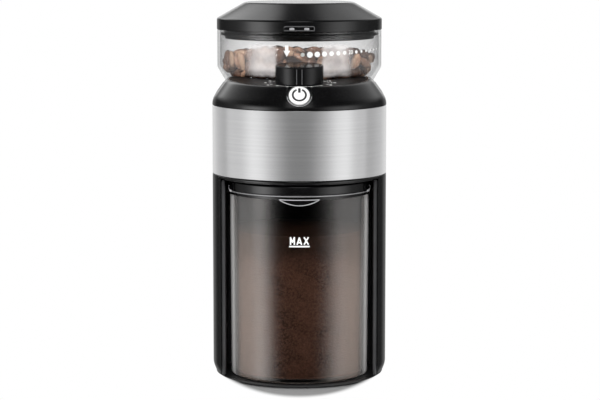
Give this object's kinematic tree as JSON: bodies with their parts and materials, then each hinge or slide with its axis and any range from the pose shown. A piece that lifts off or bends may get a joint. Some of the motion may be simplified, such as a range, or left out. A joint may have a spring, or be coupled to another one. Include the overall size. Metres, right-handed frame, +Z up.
{
  "type": "burr coffee grinder",
  "caption": "Upright burr coffee grinder with a clear bean hopper and coned lid, dial knob, power button, steel band, gear-driven conical burrs and a slide-out jar for the grounds.",
  "frame": {"origin": "centre of the bounding box on the surface that the feet stand on", "axes": "+Z up, the front with the jar, knob and button faces -Y, +X to the right seen from the front"},
  "size_m": [0.1286, 0.1766, 0.2756],
  "materials": {
    "black_gloss": "gloss",
    "black_satin": "satin",
    "steel": "brushed",
    "clear": "clear gloss",
    "smoked": "smoked clear gloss",
    "white": "gloss",
    "rubber": "matte",
    "seal": "matte",
    "nylon": "moulded",
    "burr_steel": "machined",
    "zinc": "plated",
    "bronze": "sintered",
    "board": "laminate",
    "coil": "taped winding"
  },
  "bodies": {
    "housing": {"base_plate": "black_satin", "base_screw_1": "zinc", "base_screw_2": "zinc", "base_screw_3": "zinc", "base_screw_4": "zinc", "bay_liner": "black_satin", "button_bezel": "black_satin", "chassis": "black_satin", "control_board": "board", "cord_gland": "rubber", "foot_1": "rubber", "foot_2": "rubber", "foot_3": "rubber", "foot_4": "rubber", "gearbox_case": "nylon", "gearbox_cover": "nylon", "gearbox_screw_1": "zinc", "gearbox_screw_2": "zinc", "gearbox_screw_3": "zinc", "grind_chamber": "black_satin", "grounds_chute": "black_satin", "hopper_switch": "black_satin", "housing_shell": "black_gloss", "idler_pin": "zinc", "lower_bearing": "bronze", "motor_can": "zinc", "motor_cap": "black_satin", "potentiometer": "zinc", "power_board": "board", "steel_band": "steel", "switch_board": "board", "tact_switch": "black_satin", "top_cover": "black_gloss", "transformer": "coil", "upper_bearing": "bronze"},
    "grinding_shaft": {"burr_shaft": "zinc", "burr_gear": "nylon", "impeller": "nylon", "cone_burr": "burr_steel", "burr_nut": "zinc"},
    "idler": {"idler_large_gear": "nylon", "idler_small_gear": "zinc"},
    "motor_rotor": {"motor_shaft": "zinc", "motor_pinion": "zinc"},
    "adjust_collar": {"adjust_ring": "black_satin"},
    "ring_burr_unit": {"ring_burr": "burr_steel", "burr_carrier": "nylon"},
    "hopper_unit": {"hopper": "clear"},
    "lid_unit": {"lid": "black_gloss", "lid_seal": "seal"},
    "dial": {"dial_knob": "black_satin", "knob_shaft": "zinc"},
    "button": {"power_button": "white"},
    "jar_unit": {"jar": "smoked", "jar_lid": "black_gloss"}
  },
  "joints": [
    {"name": "shaft_spin", "type": "hinge", "parent": "housing", "child": "grinding_shaft", "pos_m": [0, 0.02, 0.1831], "axis": [0, 0, 1], "continuous": true},
    {"name": "idler_spin", "type": "hinge", "parent": "housing", "child": "idler", "pos_m": [0.02343, 0.03873, 0.1539], "axis": [0, 0, 1], "continuous": true},
    {"name": "motor_spin", "type": "hinge", "parent": "housing", "child": "motor_rotor", "pos_m": [0, 0.05, 0.1539], "axis": [0, 0, 1], "continuous": true},
    {"name": "adjust_turn", "type": "hinge", "parent": "housing", "child": "adjust_collar", "pos_m": [0, 0.02, 0.2029], "axis": [0, 0, 1], "range_deg": [-144, 9]},
    {"name": "burr_lift", "type": "slide", "parent": "housing", "child": "ring_burr_unit", "axis": [0, 0, 1], "range_m": [-0.0001, 0.0009]},
    {"name": "hopper_lift", "type": "slide", "parent": "adjust_collar", "child": "hopper_unit", "axis": [0, 0, 1], "range_m": [0, 0.08]},
    {"name": "lid_lift", "type": "slide", "parent": "hopper_unit", "child": "lid_unit", "axis": [0, 0, 1], "range_m": [0, 0.06]},
    {"name": "knob_turn", "type": "hinge", "parent": "housing", "child": "dial", "pos_m": [0, -0.06, 0.2194], "axis": [0, -0.061, 0.9981], "range_deg": [-130, 130]},
    {"name": "button_press", "type": "slide", "parent": "housing", "child": "button", "axis": [0, 0.809, -0.5878], "range_m": [0, 0.0015], "stiffness_N_per_m": 400, "springref_m": -0.0005},
    {"name": "jar_slide", "type": "slide", "parent": "housing", "child": "jar_unit", "axis": [0, -1, 0], "range_m": [0, 0.13]}
  ],
  "couplings": [
    {"joint": "idler_spin", "follows": "shaft_spin", "ratio": -3},
    {"joint": "motor_spin", "follows": "shaft_spin", "ratio": 10},
    {"joint": "burr_lift", "follows": "adjust_turn", "m_per_rad": -0.00031831}
  ]
}
